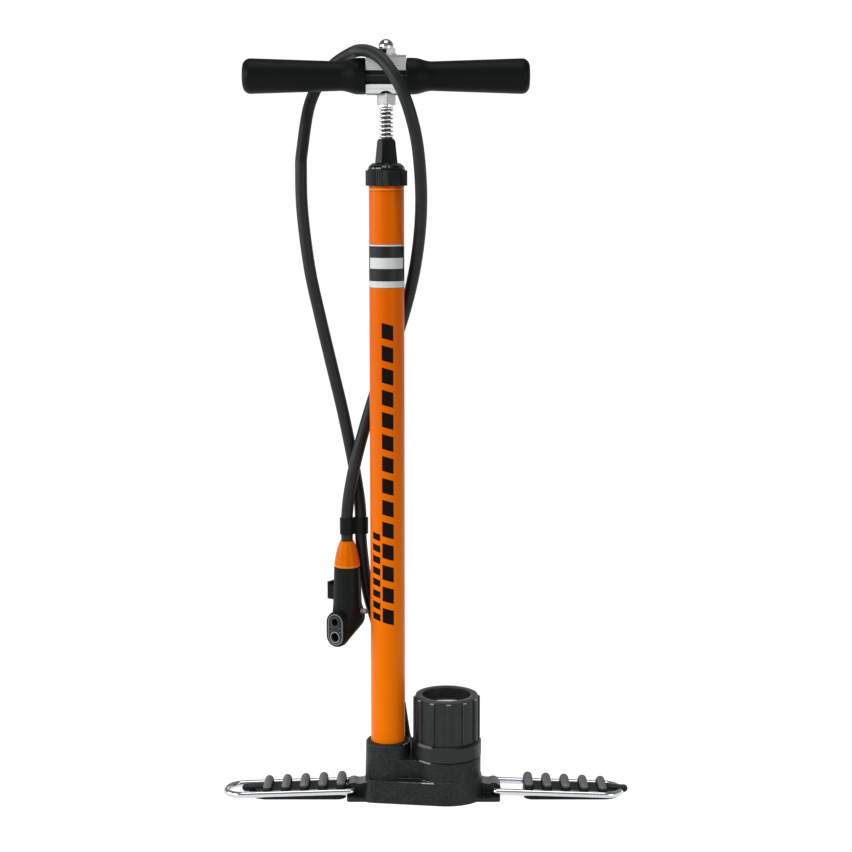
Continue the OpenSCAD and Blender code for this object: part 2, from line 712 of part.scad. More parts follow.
// A pill-shaped rib across the tread, ending on top of the wires
module rib(rise) {
    half = loop_r + 1;
    r = rib_w / 2;
    under = -1;
    hull() for (s = [-1, 1]) translate([0, s * (half - r), 0]) {
        translate([0, 0, rise - r]) sphere(r = r, $fn = 20);
        translate([0, 0, under]) cylinder(h = rise - r - under, r = r, $fn = 20);
    }
}
// The round tongue at a tread's outer end, which hooks over the loop when the tread is pushed home
module tongue(start) {
    r = 3.5;
    rise = 1.5;
    reach = 6.6;
    root = start + tread_l - pad_half;
    tip = start + tread_l + reach - r;
    translate([root, 0, rise]) rotate([0, 90, 0]) cylinder(h = tip - root, r = r);
    translate([tip, 0, rise]) sphere(r = r);
}
// A tread: a flat sole under the wires, a web between them, ribs across the top and a tongue at the end
module tread(side, start) {
    web_half = loop_r - wire_r - 0.6;
    web_top = 1.5;
    sole_top = -2.4;
    depth = 20;
    room = 300;
    color(black_rubber) difference() {
        at_foot(side) {
            translate([0, 0, -depth]) linear_extrude(depth + sole_top) pad_outline(start, pad_half);
            translate([0, 0, -depth]) linear_extrude(depth + web_top) pad_outline(start, web_half);
            for (i = [0 : tread_ribs - 1])
                translate([start + rib_pitch * i + rib_w / 2, 0, 0]) rib(rib_rise - rib_step * i);
            tongue(start);
        }
        at_foot(side) loop_runs(wire_r + slip);
        translate([-room, -room, -room]) cube([2 * room, 2 * room, room]);
    }
}
module left_foot_wire() foot_wire(-1);
module right_foot_wire() foot_wire(1);
module left_tread() tread(-1, 7);
module right_tread() tread(1, 28);

base_casting();
barrel_gasket();
barrel();
valve_seat();
valve_flap();
rod_bush();
top_cap();
neck_ring();
buffer_spring();
gauge_stem();
gauge_body();
gauge_ring();
gauge_boot();
gauge_dial();
gauge_lens();
gauge_needle();
hose_barb();
hose_sleeve();
hose();
hose_clip();
head_collar();
head_body();
head_face();
wide_grommet();
narrow_grommet();
wide_rim();
narrow_rim();
head_screws();
head_pin();
piston_cup();
piston_backing();
piston_washer();
piston_nut();
piston_rod();
spring_washer();
lock_nut();
lower_saddle();
handle_core();
upper_saddle();
left_grip();
right_grip();
top_washer();
dome_nut();
left_foot_wire();
left_tread();
right_foot_wire();
right_tread();
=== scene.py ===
# %% [markdown]
# # A bicycle floor pump
# This lesson dresses a pump whose solids are already at their real size. Nothing here moves those solids:
# each step gives them a finish, or adds a piece that lies on them. The units are metres, the floor is at
# z = 0, the barrel stands on the origin and the gauge is at +X.

# %% Load the solids and keep their box
import json
import math

import bmesh
import bpy
from mathutils import Matrix, Vector

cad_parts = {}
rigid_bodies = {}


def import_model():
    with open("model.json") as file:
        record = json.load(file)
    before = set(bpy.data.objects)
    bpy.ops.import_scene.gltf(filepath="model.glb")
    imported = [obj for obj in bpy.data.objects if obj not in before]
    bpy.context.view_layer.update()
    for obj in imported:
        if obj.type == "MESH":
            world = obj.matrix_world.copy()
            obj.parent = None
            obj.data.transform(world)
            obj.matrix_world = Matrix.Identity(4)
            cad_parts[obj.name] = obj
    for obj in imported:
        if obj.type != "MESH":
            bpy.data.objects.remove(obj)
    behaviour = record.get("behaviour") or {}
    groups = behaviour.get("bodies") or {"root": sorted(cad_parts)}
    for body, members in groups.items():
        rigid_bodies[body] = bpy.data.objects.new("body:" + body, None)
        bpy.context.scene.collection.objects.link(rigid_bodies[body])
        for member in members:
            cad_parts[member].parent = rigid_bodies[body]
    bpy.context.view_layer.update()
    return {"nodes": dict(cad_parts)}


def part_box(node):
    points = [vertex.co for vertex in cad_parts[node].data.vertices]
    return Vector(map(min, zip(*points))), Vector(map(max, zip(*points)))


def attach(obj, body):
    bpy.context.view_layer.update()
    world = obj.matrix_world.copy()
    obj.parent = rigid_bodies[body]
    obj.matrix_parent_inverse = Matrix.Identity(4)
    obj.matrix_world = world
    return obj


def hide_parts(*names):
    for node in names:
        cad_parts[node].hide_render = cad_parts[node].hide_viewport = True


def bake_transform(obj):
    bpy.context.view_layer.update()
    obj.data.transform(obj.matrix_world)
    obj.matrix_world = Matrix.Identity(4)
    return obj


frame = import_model()
solids = frame["nodes"]
MM = 0.001

# %% [markdown]
# ## Camera
# The pump was photographed from a little above, square to the handle. A long lens about 1.6 m away keeps
# the barrel's sides almost parallel, so the camera is placed by its real distance and tilt and not by
# fitting a view.

# %% Place the camera
CAMERA_PLACE = Vector((35, -1590, 567)) * MM
CAMERA_TILT = math.radians(7.984)
PHOTO_SIDE = 852
FOCAL_PIXELS = 1780.5
SENSOR = 36

studio = bpy.context.scene.collection.objects
camera_data = bpy.data.cameras.new("camera")
camera_data.sensor_width = SENSOR
camera_data.lens = SENSOR * FOCAL_PIXELS / PHOTO_SIDE
camera = bpy.data.objects.new("camera", camera_data)
camera.location = CAMERA_PLACE
camera.rotation_euler = (math.radians(90) - CAMERA_TILT, 0, 0)
studio.link(camera)
bpy.context.scene.camera = camera
print("lens", round(camera_data.lens, 1), "mm")

# %% [markdown]
# ## Tubes along a line
# The hose and the spring are both round tubes along a line. A curve with a round bevel makes such a tube at
# once, and a few listed points with a smooth line through them are enough to describe a hose's route.
# The curve is turned into a mesh.

# %% Make a tube along a line


def shade_smooth(mesh):
    for face in mesh.polygons:
        face.use_smooth = True


def smooth_line(points, steps):
    """Points along the smooth curve that passes through the given ones."""
    padded = [2 * points[0] - points[1], *points, 2 * points[-1] - points[-2]]
    line = []
    for a, b, c, d in zip(padded, padded[1:], padded[2:], padded[3:]):
        for step in range(steps):
            t = step / steps
            line.append(0.5 * (2 * b + (c - a) * t + (2 * a - 5 * b + 4 * c - d) * t**2
                               + (3 * b - a - 3 * c + d) * t**3))
    return line + [points[-1]]


def line_length(points):
    return sum((b - a).length for a, b in zip(points, points[1:]))


def tube_along(name, points, radius, resolution):
    """A closed round tube along a line, as a mesh."""
    curve = bpy.data.curves.new(name, "CURVE")
    curve.dimensions = "3D"
    curve.bevel_depth = radius
    curve.bevel_resolution = resolution
    curve.use_fill_caps = True
    spline = curve.splines.new("POLY")
    spline.points.add(len(points) - 1)
    for spot, point in zip(spline.points, points):
        spot.co = (*point, 1)
    holder = bpy.data.objects.new(name + "_line", curve)
    studio.link(holder)
    shape = holder.evaluated_get(bpy.context.evaluated_depsgraph_get())
    mesh = bpy.data.meshes.new_from_object(shape)
    bpy.data.objects.remove(holder)
    mesh.name = name
    shade_smooth(mesh)
    piece = bpy.data.objects.new(name, mesh)
    studio.link(piece)
    return piece


print("tubes can be laid along a line")

# %% [markdown]
# ## Hose
# A hose is a fixed length of rubber tube. This one climbs behind the barrel, hangs over the left grip, and
# comes down again to its valve head, held to itself by a clip.

# %% Lay the hose along its route
HOSE_DIAMETER = 10.8 * MM
HOSE_ROUTE = [Vector(point) * MM for point in (
    (10, 27, 78.2), (8, 27, 99), (-5, 27, 135), (-13.8, 26, 165), (-19.3, 23, 188), (-23.2, 18.5, 218),
    (-25, 16, 242), (-25, 16, 261), (-27, 17.5, 280), (-32, 20, 310), (-41, 21, 355), (-51, 21, 398),
    (-61, 20, 442), (-70, 20, 485), (-76, 21, 535), (-77, 22, 571), (-76.1, 26.5, 590), (-69.2, 38.5, 632.8),
    (-51.9, 32.4, 661.4), (-30.8, 10.7, 674.7), (-17.3, -23.9, 674.4), (-5, -41.5, 668.1), (5.9, -52.5, 655),
    (14.8, -56.5, 638.9), (22.6, -54.8, 616.8), (28, -45.1, 591.2), (30.8, -23.9, 554), (29.3, -4.2, 516),
    (22.9, 11.4, 474.4), (10.6, 20.9, 429.2), (-3, 22.3, 396), (-17.5, 16.5, 352), (-29, 9, 310),
    (-35, 8.5, 280), (-37.3, 10, 258), (-37.3, 10, 248), (-37.3, 10, 236.8),
)]
ROUTE_STEPS = 6
HOSE_RESOLUTION = 6

hose_line = smooth_line(HOSE_ROUTE, ROUTE_STEPS)
hose_length = line_length(hose_line)
hose = tube_along("rubber_hose", hose_line, HOSE_DIAMETER / 2, HOSE_RESOLUTION)
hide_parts("hose")
print("hose", round(hose_length, 3), "m")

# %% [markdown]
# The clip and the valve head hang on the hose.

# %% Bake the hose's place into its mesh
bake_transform(hose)

# %% [markdown]
# ## Buffer spring
# The spring on the rod softens the end of the down stroke. It is one wire: its first and last turns lie
# almost flat so that it stands square, and the turns between them rise evenly. The same tube along a line
# makes it.

# %% Wind the spring
SPRING_LOW, SPRING_HIGH = (599.5 * MM, 627.2 * MM)
SPRING_RADIUS = 5.5 * MM
SPRING_WIRE = 1.7 * MM
SPRING_TURNS = 8
FLAT_TURNS = 0.8
TURN_STEPS = 28
WIRE_RESOLUTION = 3


def spring_line():
    """Points along the wire, from the flat lower turn to the flat upper one."""
    low, high = (SPRING_LOW + SPRING_WIRE / 2, SPRING_HIGH - SPRING_WIRE / 2)
    flat_rise = SPRING_WIRE * FLAT_TURNS
    steady = (high - low - 2 * flat_rise) / (SPRING_TURNS - 2 * FLAT_TURNS)
    points = []
    for step in range(SPRING_TURNS * TURN_STEPS + 1):
        turn = step / TURN_STEPS
        rise = min(turn, FLAT_TURNS) * SPRING_WIRE
        rise += min(max(turn - FLAT_TURNS, 0), SPRING_TURNS - 2 * FLAT_TURNS) * steady
        rise += max(turn - SPRING_TURNS + FLAT_TURNS, 0) * SPRING_WIRE
        around = math.tau * turn
        across, depth = (SPRING_RADIUS * math.cos(around), SPRING_RADIUS * math.sin(around))
        points.append(Vector((across, depth, low + rise)))
    return points


spring = tube_along("wound_spring", spring_line(), SPRING_WIRE / 2, WIRE_RESOLUTION)
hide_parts("buffer_spring")
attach(spring, "base")
print("spring", round(line_length(spring_line()), 3), "m of wire")

# %% [markdown]
# ## Floor
# A catalogue picture stands on a white sweep: a floor that curves up into a wall, with no corner to see.
# Here the sweep is a wide shallow bowl, spun from half of its outline, so the pump can be seen from every
# side.

# %% Spin the sweep
SWEEP_FLOOR = 5.0
SWEEP_BEND = 0.7
SWEEP_HEIGHT = 1.6
BEND_STEPS = 12
ROUND_STEPS = 96
SAME_SPOT = 0.00001


def new_piece(name, mesh_maker):
    """An object at the origin around the bmesh that a function fills."""
    shape = bmesh.new()
    mesh_maker(shape)
    mesh = bpy.data.meshes.new(name)
    shape.to_mesh(mesh)
    shape.free()
    piece = bpy.data.objects.new(name, mesh)
    studio.link(piece)
    return piece


def sweep_shape(shape):
    """Half of the bowl's outline, from its middle to its rim, spun about the upright axis."""
    bend = [math.radians(90) * step / BEND_STEPS for step in range(BEND_STEPS + 1)]
    outline = [(0, 0, 0)]
    outline += [(SWEEP_FLOOR + SWEEP_BEND * math.sin(a), 0, SWEEP_BEND * (1 - math.cos(a))) for a in bend]
    outline += [(SWEEP_FLOOR + SWEEP_BEND, 0, SWEEP_HEIGHT)]
    spots = [shape.verts.new(spot) for spot in outline]
    edges = [shape.edges.new(pair) for pair in zip(spots, spots[1:])]
    bmesh.ops.spin(shape, geom=[*spots, *edges], cent=(0, 0, 0), axis=(0, 0, 1), angle=math.tau,
                   steps=ROUND_STEPS, use_merge=True)
    bmesh.ops.remove_doubles(shape, verts=shape.verts, dist=SAME_SPOT)
    bmesh.ops.recalc_face_normals(shape, faces=shape.faces)
    if min(shape.faces, key=lambda face: face.calc_center_median().z).normal.z < 0:
        bmesh.ops.reverse_faces(shape, faces=shape.faces)


sweep = new_piece("floor_sweep", sweep_shape)
shade_smooth(sweep.data)
print("sweep", len(sweep.data.polygons), "faces")

# %% [markdown]
# ## Writing a finish
# Shader maths reads best as plain sums. A small class wraps a node's output, so that adding, multiplying or
# comparing two of them adds the Math node, and one method makes every other kind of node.

# %% A small language for finishes


class Signal:
    """One value that varies over a surface."""

    def __init__(self, finish, socket):
        self.finish = finish
        self.socket = socket

    def _maths(self, operation, *values):
        return self.finish.node("Math", {"operation": operation}, *values)

    def __add__(self, other):
        return self._maths("ADD", self, other)

    def __radd__(self, other):
        return self._maths("ADD", other, self)

    def __sub__(self, other):
        return self._maths("SUBTRACT", self, other)

    def __rsub__(self, other):
        return self._maths("SUBTRACT", other, self)

    def __mul__(self, other):
        return self._maths("MULTIPLY", self, other)

    def __rmul__(self, other):
        return self._maths("MULTIPLY", other, self)

    def __gt__(self, other):
        return self._maths("GREATER_THAN", self, other)

    def __lt__(self, other):
        return self._maths("LESS_THAN", self, other)


class Finish:
    """A procedural material around one Principled shader."""

    def __init__(self, name, **constants):
        self.material = bpy.data.materials.new(name)
        self.material.use_nodes = True
        self.nodes = self.material.node_tree.nodes
        self.links = self.material.node_tree.links
        self.shader = self.nodes["Principled BSDF"]
        self.surface(**constants)

    def set(self, socket, value):
        if isinstance(value, Signal):
            self.links.new(value.socket, socket)
        elif socket.type == "RGBA" and len(value) == 3:
            socket.default_value = (*value, 1)
        else:
            socket.default_value = value

    def surface(self, **values):
        for socket, value in values.items():
            self.set(self.shader.inputs[socket.replace("_", " ")], value)
        return self

    def node(self, kind, settings=None, *values, out=0, **named):
        made = self.nodes.new("ShaderNode" + kind)
        for key, value in (settings or {}).items():
            setattr(made, key, value)
        for socket, value in zip(made.inputs, values):
            self.set(socket, value)
        for key, value in named.items():
            self.set(made.inputs[key.replace("_", " ")], value)
        return Signal(self, made.outputs[out])

    def place(self):
        return self.node("TexCoord", out="Object")

    def axes(self):
        """The three coordinates of the object's own frame, in metres."""
        made = self.node("SeparateXYZ", None, self.place())
        return [Signal(self, socket) for socket in made.socket.node.outputs]

    def height(self):
        return self.axes()[2]

    def noise(self, scale, detail=2.0, stretch=(1, 1, 1)):
        spot = self.node("Mapping", None, self.place(), Scale=stretch)
        return self.node("TexNoise", None, Vector=spot, Scale=scale, Detail=detail)

    def between(self, signal, low, high, low_out=0.0, high_out=1.0):
        return self.node("MapRange", None, signal, low, high, low_out, high_out)

    def mix(self, factor, first, second):
        made = self.nodes.new("ShaderNodeMix")
        made.data_type = "RGBA"
        self.set(made.inputs["Factor"], factor)
        colours = [socket for socket in made.inputs if socket.type == "RGBA"]
        self.set(colours[0], first)
        self.set(colours[1], second)
        return Signal(self, next(socket for socket in made.outputs if socket.type == "RGBA"))

    def rounded(self, radius):
        """The surface's direction with its sharp edges softened over a radius."""
        return self.node("Bevel", {"samples": 4}, Radius=radius)

    def edge_wear(self, radius):
        """1 on sharp edges, 0 on open faces."""
        facing = self.node("NewGeometry", out="Normal")
        turn = self.node("VectorMath", {"operation": "DOT_PRODUCT"}, self.rounded(radius), facing,
                         out="Value")
        return self.between(turn, 0.985, 0.85)

    def bump(self, height, depth, strength=1.0, edge=0.3 * MM):
        raised = self.node("Bump", None, Strength=strength, Distance=depth, Height=height,
                           Normal=self.rounded(edge))
        return self.surface(Normal=raised)


print("finishes can be written as sums")

# %% [markdown]
# The sweep has to look white without more light on the pump. Rays from the camera, and those that metal and
# glass send back, see a white glow; all other rays see plain pale paper, which keeps a faint shadow under
# the feet.

# %% Paint the sweep and the sky
PAPER = (0.86, 0.86, 0.86)
SHADOW_SHARE = 0.3
WHITE, GLOW = ((1, 1, 1, 1), 1.35)
SKY, SKY_STRENGTH = ((0.9, 0.95, 1.0, 1), 0.28)

paper = Finish("pale_paper", Base_Color=PAPER, Roughness=0.9)
rays = paper.node("LightPath").socket.node.outputs
seen = [Signal(paper, rays[name]) for name in ("Is Camera Ray", "Is Glossy Ray", "Is Transmission Ray")]
bright = paper.node("Math", {"operation": "MINIMUM"}, seen[0] + seen[1] + seen[2], 1.0)
glow = paper.node("Emission", None, WHITE, GLOW)
plain = Signal(paper, paper.shader.outputs[0])
blend = paper.node("MixShader", None, bright * (1 - SHADOW_SHARE), plain, glow)
paper.links.new(blend.socket, paper.nodes["Material Output"].inputs["Surface"])
sweep.data.materials.append(paper.material)

world = bpy.data.worlds.new("studio")
world.use_nodes = True
world.node_tree.nodes["Background"].inputs["Color"].default_value = SKY
world.node_tree.nodes["Background"].inputs["Strength"].default_value = SKY_STRENGTH
bpy.context.scene.world = world
bpy.context.scene.view_settings.view_transform = "Standard"
print("sweep painted")

# %% [markdown]
# ## Lamps
# A big soft lamp and a smaller one on the left draw the bright streak down the barrel. A weak one fills the
# right and one hangs overhead. All are square, as a studio's soft boxes are, and aim at the middle of the
# pump.

# %% Hang the lamps
AIM = Vector((0.03, 0, 0.34))
LAMPS = {  # place, side in metres and power in watts
    "key_left": ((-1.7, -1.3, 1.2), 1.2, 29),
    "side_left": ((-1.9, 0.0, 0.8), 0.9, 12),
    "fill_right": ((1.6, -1.7, 0.7), 1.0, 10),
    "top_soft": ((0.0, -0.3, 2.3), 1.2, 13),
}


def hang_lamp(name, place, side, power):
    lamp = bpy.data.lights.new(name, "AREA")
    lamp.size = side
    lamp.energy = power
    holder = bpy.data.objects.new(name, lamp)
    holder.location = place
    holder.rotation_euler = (AIM - Vector(place)).to_track_quat("-Z", "Y").to_euler()
    studio.link(holder)


for lamp_name, lamp_values in LAMPS.items():
    hang_lamp(lamp_name, *lamp_values)
print(len(LAMPS), "lamps")

# %% [markdown]
# Polished metal shows what stands round it, and an all-white room would leave it flat. Two dark cards, hung
# higher than any view reaches, give the chrome its dark lines.

# %% Hang the dark cards
CARD_PLACES = {"card_left": (-1.2, -0.2, 2.5), "card_right": (1.2, -0.2, 2.5)}
CARD_SIZE = (0.8, 2.0)
dark_card = Finish("dark_card", Base_Color=(0.01, 0.01, 0.01), Roughness=0.9)


def card_shape(place):
    def fill(shape):
        bmesh.ops.create_grid(shape, x_segments=1, y_segments=1, size=0.5)
        bmesh.ops.scale(shape, vec=(*CARD_SIZE, 1), verts=shape.verts)
        facing = (AIM - Vector(place)).to_track_quat("Z", "Y").to_matrix().to_4x4()
        bmesh.ops.transform(shape, matrix=Matrix.Translation(place) @ facing, verts=shape.verts)
    return fill


for card_name, card_place in CARD_PLACES.items():
    card = new_piece(card_name, card_shape(card_place))
    card.data.materials.append(dark_card.material)
print(len(CARD_PLACES), "cards")

# %% [markdown]
# ## Finishes
# Each finish is one small function of noise at the real scale: orange peel on the paint, grit on the
# casting, a moulded grain on plastic, a duller and finer one on rubber, and faint drawing marks on plated
# steel. Noise alone looks new all over, so wear, painted highlights and painted shade are laid on by masks.
# A mask is 1 where the mark lies and 0 elsewhere. It reads the place on the piece and the way the surface
# faces, so it looks the same from every side and moves with the piece.

# %% Masks and shades


def upward(finish):
    """1 on faces that look up when the pump is at rest, 0 on upright ones."""
    return finish.node("SeparateXYZ", None, finish.node("TexCoord", out="Normal"), out="Z")


def within(signal, low, high):
    """1 between two limits, 0 outside them."""
    return (signal > low) * (signal < high)


def shaded(tint, share):
    return tuple(share * c for c in tint)


def grey(level):
    return (level, level, level)


print("masks can be written")

# %% [markdown]
# ### Casting
# The base is cast metal under grainy black paint. The paint chips along sharp edges, which the shader finds
# by itself, and the tops of the ears are painted paler as a highlight. The longest lines of painted
# highlight
# lie at given places: on the boss, the socket and the slab.

# %% Mix the casting's paint
EAR_HEIGHTS = (9.5 * MM, 14.5 * MM)
BOSS_HEIGHTS, BOSS_ACROSS = ((36.7 * MM, 38.1 * MM), (29 * MM, 39 * MM))
SOCKET_RIM, SOCKET_SIDE, SOCKET_EDGE = (50.8 * MM, 14 * MM, 19.6 * MM)
SLAB_HEIGHTS, SLAB_ACROSS = ((19.1 * MM, 20.2 * MM), (10 * MM, 42 * MM))
SLAB_HIGHLIGHT_FULL, SLAB_FADE = (31 * MM, 0.35 * MM)
PAINT_DARK, PAINT_PALE = ((0.001, 0.0025, 0.002), (0.019, 0.0225, 0.0215))
# Greys for a painted highlight on the ears, for chipped paint, and for painted highlights along edges.
EAR_HIGHLIGHT_GREY, CHIP_GREY = ((0.25, 0.255, 0.253), (0.2, 0.205, 0.203))
EDGE_HIGHLIGHT_GREY, SLAB_HIGHLIGHT_GREY = ((0.3, 0.305, 0.303), (0.5, 0.505, 0.503))


def grit_casting():
    """Grainy paint, chipped on its edges, with painted highlights on the ears and on the boss, socket and
    slab.
    """
    finish = Finish("grainy_black_casting", Specular_IOR_Level=0.25)
    across, depth, height = finish.axes()
    facing, in_front = (upward(finish), depth < 0)
    grain = finish.noise(700, 3)
    speckle = finish.between(grain, 0.3, 0.5, 0.3, 1.0)
    # Painted highlights: the ears' tops, and lines along the boss, the socket's rim and the slab's edge.
    ear_highlights = within(height, *EAR_HEIGHTS) * (facing > 0.4) * finish.between(grain, 0.3, 0.7, 0.5, 1.0)
    chips = finish.edge_wear(0.7 * MM) * finish.between(finish.noise(1100, 2), 0.48, 0.62)
    boss_highlight = within(height, *BOSS_HEIGHTS) * within(across, *BOSS_ACROSS) * in_front
    from_barrel = across * across + depth * depth
    socket_rim_highlight = (height > SOCKET_RIM) * (across > SOCKET_SIDE) * (from_barrel > SOCKET_EDGE**2)
    slab_highlight = within(height, *SLAB_HEIGHTS) * within(across, *SLAB_ACROSS) * in_front * (facing < 0.6)
    slab_highlight = slab_highlight * finish.between(across, SLAB_HIGHLIGHT_FULL - SLAB_FADE, SLAB_HIGHLIGHT_FULL, 0.15, 1.0)
    tone = finish.mix(finish.between(grain, 0.38, 0.68), PAINT_DARK, PAINT_PALE)
    paling = ((ear_highlights, EAR_HIGHLIGHT_GREY), (chips, CHIP_GREY), ((boss_highlight + socket_rim_highlight) * speckle, EDGE_HIGHLIGHT_GREY),
            (slab_highlight * speckle, SLAB_HIGHLIGHT_GREY))
    for mask, colour in paling:
        tone = finish.mix(mask, tone, colour)
    finish.surface(Base_Color=tone, Roughness=finish.between(finish.noise(60, 2), 0.3, 0.7, 0.4, 0.55))
    return finish.bump(grain, depth=0.8 * MM, strength=0.6, edge=0.8 * MM)


casting = grit_casting()
print(casting.material.name)

# %% [markdown]
# ### Plastic
# The grips, the handle's core, the cap and the valve head are moulded plastic: nearly black, with a fine
# grain, and paler on edges that hands have rubbed. One recipe makes them all. It can add a painted highlight
# along the line where two halves of a mould met, and a clear coat over a shoulder that handling has
# polished.

# %% Mix the plastics
JET = (0.0025, 0.004, 0.0036)
CAP_SHOULDER = (573.5 * MM, 578.4 * MM)
CORE_SEAM, SEAM_HALF = (654.1 * MM, 0.35 * MM)
SEAM_HIGHLIGHT_GREY = (0.05, 0.054, 0.053)


def moulded_black(name, rough, tint, shine=0.1, edge=0.5 * MM, paling=4, seams=(), polish=()):
    """Black plastic with paler edges, seams painted pale as highlights, and a polish between two heights."""
    finish = Finish(name, Specular_IOR_Level=shine)
    cloud = finish.noise(45, 3)
    tone = finish.mix(cloud, tint, shaded(tint, 1.6))
    tone = finish.mix(finish.edge_wear(edge) * cloud, tone, shaded(tint, paling))
    # Each seam is painted pale as a highlight along it.
    for seam in seams:
        tone = finish.mix(within(finish.height(), seam - SEAM_HALF, seam + SEAM_HALF), tone, SEAM_HIGHLIGHT_GREY)
    if polish:
        finish.surface(Coat_Weight=within(finish.height(), *polish))
    finish.surface(Base_Color=tone, Roughness=finish.between(cloud, 0.3, 0.7, rough - 0.05, rough + 0.08))
    return finish.bump(finish.noise(1400, 2), depth=0.2 * MM, strength=0.3, edge=edge)


plastic = moulded_black("moulded_black_plastic", 0.36, (0.0042, 0.0058, 0.0053), shine=0.09)
glossy_plastic = moulded_black("glossy_black_plastic", 0.26, JET, shine=0.14, polish=CAP_SHOULDER)
knurl_plastic = moulded_black("knurl_plastic", 0.26, JET, shine=0.14, edge=0.2 * MM, paling=24)
core_plastic = moulded_black("core_plastic", 0.36, (0.006, 0.0078, 0.0072), seams=(CORE_SEAM,))
grip_plastic = moulded_black("grip_plastic", 0.42, (0.0032, 0.0048, 0.0043), shine=0.07)
print("plastics ready")

# %% [markdown]
# ### Rubber
# Rubber takes a little dust. On the gauge's boot, paler greys are painted highlights: along the shoulders of
# the ribs, on their upper ends, on both edges of the rim, and on a stretch of the ledge below. On the hose,
# whatever looks up is paler, with dust and with a painted highlight. Each of these places is a mask of its
# own, and the recipe lays their greys one over the other.

# %% Mix the rubbers
GAUGE_CENTRE = Vector((54, 0, 0)) * MM
SHOULDER_IN, SHOULDER_OUT = (30.15 * MM, 30.76 * MM)
RIB_END_LOW, RIB_FOOT = (91 * MM, 28.9 * MM)
RIM_LOW, RIM_IN, RIM_OUT = (94.25 * MM, 22.95 * MM, 28.15 * MM)
LEDGE_LOW, LEDGE_HIGH, LEDGE_ACROSS = (51.4 * MM, 53.2 * MM, (28 * MM, 40 * MM))


def from_gauge(finish):
    """The square of the distance from the gauge's axis."""
    across, depth, _ = finish.axes()
    right = across - GAUGE_CENTRE.x
    return right * right + depth * depth


# The next four masks place painted highlights on the boot.
def rib_shoulders(finish):
    return within(from_gauge(finish), SHOULDER_IN**2, SHOULDER_OUT**2) * (finish.height() > LEDGE_HIGH)


def rib_ends(finish):
    return (finish.height() > RIB_END_LOW) * (from_gauge(finish) > RIB_FOOT**2) * (upward(finish) > 0.45)


def rim_edges(finish):
    out = from_gauge(finish)
    return (finish.height() > RIM_LOW) * ((out > RIM_OUT**2) + (out < RIM_IN**2))


def ledge_shine(finish):
    across, depth, height = finish.axes()
    in_place = within(height, LEDGE_LOW, LEDGE_HIGH) * within(across, *LEDGE_ACROSS) * (depth < 0)
    return in_place * (upward(finish) > 0.5)


# Upward faces are paler: dust, and a painted highlight on the hose's arch.
def dusty_tops(finish):
    return finish.between(upward(finish), 0.5, 0.95)


def black_rubber(name, rough, tint, shine=0.16, highlights_and_dust=()):
    """Rubber with a little dust, and paler greys that masks lay on as painted highlights and dust."""
    finish = Finish(name, Specular_IOR_Level=shine)
    dust = finish.noise(70, 4)
    tone = finish.mix(finish.between(dust, 0.45, 0.75), tint, shaded(tint, 1.8))
    for mask, level in highlights_and_dust:
        tone = finish.mix(mask(finish), tone, grey(level))
    finish.surface(Base_Color=tone, Roughness=finish.between(dust, 0.3, 0.7, rough - 0.06, rough + 0.1))
    return finish.bump(finish.noise(1800, 3), depth=0.2 * MM, strength=0.4, edge=0.5 * MM)


rubber = black_rubber("black_rubber", 0.58, (0.012, 0.014, 0.0135))
# The boot's paler greys are painted highlights.
boot_rubber = black_rubber("boot_rubber", 0.36, (0.0085, 0.0105, 0.01), shine=0.3, highlights_and_dust=(
    (rib_shoulders, 0.05), (rib_ends, 0.3), (rim_edges, 0.07), (ledge_shine, 0.12)))
hose_rubber = black_rubber("hose_rubber", 0.44, (0.0082, 0.0098, 0.0093), shine=0.22, highlights_and_dust=(
    (dusty_tops, 0.05),))
print("rubbers ready")

# %% [markdown]
# ### Treads
# The treads are the rubber that shoes stand on, so the crests of their ribs have gone grey, and dust
# lies on faces that look up; both are also painted paler as light from above. Each tread falls away slowly
# from its hinge. The height over that falling line tells a crest from the tread's bed.

# %% Mix the treads' rubber
FOOT_HINGES = (32 * MM, 97.5 * MM)
FOOT_LINE, FOOT_FALL = (6.9 * MM, math.tan(math.radians(1.8)))
CREST_LOW, CREST_HIGH = (5 * MM, 7 * MM)
TREAD_BLACK, TREAD_DUST_AND_TOP_LIGHT, TREAD_WEAR_AND_TOP_LIGHT = ((0.008, 0.0095, 0.009), (0.04, 0.042, 0.041), (0.23, 0.235, 0.233))


def worn_tread():
    """Rubber with tops paler from dust and painted top light, and ribs grey from wear and painted top light.
    """
    finish = Finish("worn_tread", Specular_IOR_Level=0.16)
    across, _, height = finish.axes()
    facing = upward(finish)
    grain = finish.noise(900, 3)
    reach = finish.node("Math", {"operation": "MAXIMUM"}, -FOOT_HINGES[0] - across, across - FOOT_HINGES[1])
    over_line = height - FOOT_LINE + reach * FOOT_FALL
    crests = finish.between(over_line, CREST_LOW, CREST_HIGH) * finish.between(facing, 0.15, 0.6)
    # Upward faces and rib crests are paler: dust and wear, and painted light from above.
    tone = finish.mix(finish.between(facing, 0.2, 0.7), TREAD_BLACK, TREAD_DUST_AND_TOP_LIGHT)
    tone = finish.mix(crests * finish.between(grain, 0.35, 0.65, 0.4, 1.0), tone, TREAD_WEAR_AND_TOP_LIGHT)
    finish.surface(Base_Color=tone, Roughness=finish.between(grain, 0.3, 0.7, 0.55, 0.75))
    return finish.bump(grain, depth=0.2 * MM, strength=0.5, edge=0.5 * MM)


tread_rubber = worn_tread()
print(tread_rubber.material.name)

# %% [markdown]
# ### Face plate
# The plate on the valve head is an oval of black plastic with a painted highlight round its edge, and round
# each of its two screws. The distance from the oval's middle line gives the edge's highlight, and that from
# each screw gives its ring.

